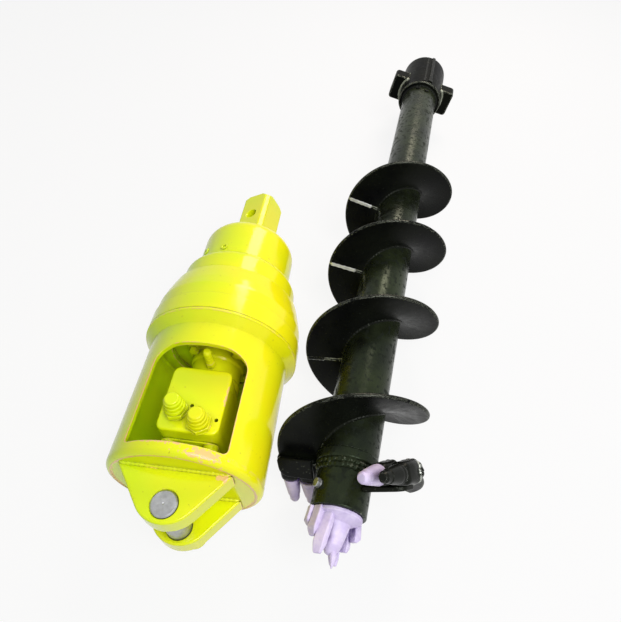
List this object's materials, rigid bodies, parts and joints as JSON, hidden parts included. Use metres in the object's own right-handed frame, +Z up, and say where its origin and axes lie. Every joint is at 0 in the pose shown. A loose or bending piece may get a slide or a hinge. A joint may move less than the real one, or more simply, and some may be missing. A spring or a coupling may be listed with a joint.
{
  "type": "earth auger drive with auger",
  "caption": "Hydraulic earth auger drive with a windowed bell, planetary gearbox and square output shaft, with its single-flight auger laid beside it.",
  "frame": {"origin": "centre of the output shaft's end face", "axes": "+Y out of the drive's output shaft, along its axis; +Z up from the ground both pieces lie on; +X towards the auger"},
  "size_m": [0.6584, 1.5884, 0.3001],
  "materials": {
    "yellow_paint": "gloss enamel",
    "bright_steel": "turned steel",
    "gear_steel": "ground steel, oiled",
    "bearing_steel": "ground steel",
    "black_paint": "gloss enamel, worn at the edges",
    "pale_tool_steel": "satin, pale violet white",
    "seal_rubber": "matt"
  },
  "bodies": {
    "drive_body": {"bell_housing": "yellow_paint", "end_plate": "yellow_paint", "upper_ear": "yellow_paint", "lower_ear": "yellow_paint", "pin_keeper_plate": "yellow_paint", "adapter_plate": "yellow_paint", "gear_housing": "yellow_paint", "output_housing": "yellow_paint", "seal_cover": "yellow_paint", "motor_body": "yellow_paint", "rear_cover": "yellow_paint", "port_block": "yellow_paint", "port_fitting_a": "yellow_paint", "port_fitting_b": "yellow_paint", "drain_fitting": "yellow_paint", "oil_level_plug": "bright_steel", "oil_filler_plug": "bright_steel", "first_ring_gear": "gear_steel", "second_ring_gear": "gear_steel", "rear_bearing_outer": "bearing_steel", "front_bearing_outer": "bearing_steel", "shaft_seal": "seal_rubber"},
    "output": {"output_shaft": "yellow_paint", "second_carrier": "gear_steel", "rear_bearing_inner": "bearing_steel", "front_bearing_inner": "bearing_steel"},
    "first_stage_carrier": {"first_carrier": "gear_steel", "second_sun_gear": "gear_steel"},
    "input": {"sun_shaft": "gear_steel"},
    "hitch_pin": {"hitch_pin": "bright_steel"},
    "port_cap_a": {"port_cap_a": "yellow_paint"},
    "port_cap_b": {"port_cap_b": "yellow_paint"},
    "auger": {"hub": "black_paint", "hub_lug_left": "black_paint", "hub_lug_right": "black_paint", "auger_tube": "black_paint", "flight_1": "black_paint", "flight_2": "black_paint", "flight_3": "black_paint", "flight_4": "black_paint", "wing_plate": "black_paint", "main_holder_1": "black_paint", "main_holder_2": "black_paint", "wing_holder_1": "black_paint", "wing_holder_2": "black_paint", "collar_ring": "black_paint", "barrel": "black_paint", "pilot_bit": "pale_tool_steel", "bit_bolt": "bright_steel"},
    "second_planet_a": {"second_planet_a": "gear_steel"},
    "second_planet_b": {"second_planet_b": "gear_steel"},
    "second_planet_c": {"second_planet_c": "gear_steel"},
    "first_planet_a": {"first_planet_a": "gear_steel"},
    "first_planet_b": {"first_planet_b": "gear_steel"},
    "first_planet_c": {"first_planet_c": "gear_steel"},
    "main_tooth_1": {"main_tooth_1": "pale_tool_steel"},
    "main_tooth_2": {"main_tooth_2": "pale_tool_steel"},
    "wing_tooth_1": {"wing_tooth_1": "pale_tool_steel"},
    "wing_tooth_2": {"wing_tooth_2": "pale_tool_steel"}
  },
  "joints": [
    {"name": "output_shaft_spin", "type": "hinge", "parent": "drive_body", "child": "output", "pos_m": [0, 0, 0], "axis": [0, 1, 0], "continuous": true},
    {"name": "first_carrier_spin", "type": "hinge", "parent": "drive_body", "child": "first_stage_carrier", "pos_m": [0, 0, 0], "axis": [0, 1, 0], "continuous": true},
    {"name": "input_spin", "type": "hinge", "parent": "drive_body", "child": "input", "pos_m": [0, 0, 0], "axis": [0, 1, 0], "continuous": true},
    {"name": "second_planet_a_spin", "type": "hinge", "parent": "output", "child": "second_planet_a", "pos_m": [0, -0.3562, 0.06], "axis": [0, 1, 0], "continuous": true},
    {"name": "second_planet_b_spin", "type": "hinge", "parent": "output", "child": "second_planet_b", "pos_m": [-0.05196, -0.3562, -0.03], "axis": [0, 1, 0], "continuous": true},
    {"name": "second_planet_c_spin", "type": "hinge", "parent": "output", "child": "second_planet_c", "pos_m": [0.05196, -0.3562, -0.03], "axis": [0, 1, 0], "continuous": true},
    {"name": "first_planet_a_spin", "type": "hinge", "parent": "first_stage_carrier", "child": "first_planet_a", "pos_m": [0, -0.3562, 0.06], "axis": [0, 1, 0], "continuous": true},
    {"name": "first_planet_b_spin", "type": "hinge", "parent": "first_stage_carrier", "child": "first_planet_b", "pos_m": [-0.05196, -0.3562, -0.03], "axis": [0, 1, 0], "continuous": true},
    {"name": "first_planet_c_spin", "type": "hinge", "parent": "first_stage_carrier", "child": "first_planet_c", "pos_m": [0.05196, -0.3562, -0.03], "axis": [0, 1, 0], "continuous": true},
    {"name": "hitch_pin_lift", "type": "slide", "parent": "drive_body", "child": "hitch_pin", "axis": [0, 0, 1], "range_m": [0, 0.24]},
    {"name": "port_cap_a_lift", "type": "slide", "parent": "drive_body", "child": "port_cap_a", "axis": [0, 0, 1], "range_m": [0, 0.08]},
    {"name": "port_cap_b_lift", "type": "slide", "parent": "drive_body", "child": "port_cap_b", "axis": [0, 0, 1], "range_m": [0, 0.08]},
    {"name": "auger_lift", "type": "slide", "parent": "drive_body", "child": "auger", "axis": [0, 0, 1], "range_m": [0, 0.4]},
    {"name": "main_tooth_1_spin", "type": "hinge", "parent": "auger", "child": "main_tooth_1", "pos_m": [0.19592, -0.63331, -0.04047], "axis": [0.1851, -0.5222, -0.8325], "continuous": true},
    {"name": "main_tooth_2_spin", "type": "hinge", "parent": "auger", "child": "main_tooth_2", "pos_m": [0.16112, -0.62991, -0.05097], "axis": [0.1851, -0.5222, -0.8325], "continuous": true},
    {"name": "wing_tooth_1_spin", "type": "hinge", "parent": "auger", "child": "wing_tooth_1", "pos_m": [0.33882, -0.66908, 0.03482], "axis": [-0.5463, -0.4453, 0.7094], "continuous": true},
    {"name": "wing_tooth_2_spin", "type": "hinge", "parent": "auger", "child": "wing_tooth_2", "pos_m": [0.36843, -0.6723, 0.05592], "axis": [-0.5463, -0.4453, 0.7094], "continuous": true}
  ],
  "couplings": [
    {"joint": "first_carrier_spin", "follows": "output_shaft_spin", "ratio": 5},
    {"joint": "input_spin", "follows": "output_shaft_spin", "ratio": 25},
    {"joint": "second_planet_a_spin", "follows": "output_shaft_spin", "ratio": -2.6667},
    {"joint": "second_planet_b_spin", "follows": "output_shaft_spin", "ratio": -2.6667},
    {"joint": "second_planet_c_spin", "follows": "output_shaft_spin", "ratio": -2.6667},
    {"joint": "first_planet_a_spin", "follows": "output_shaft_spin", "ratio": -13.333},
    {"joint": "first_planet_b_spin", "follows": "output_shaft_spin", "ratio": -13.333},
    {"joint": "first_planet_c_spin", "follows": "output_shaft_spin", "ratio": -13.333}
  ]
}
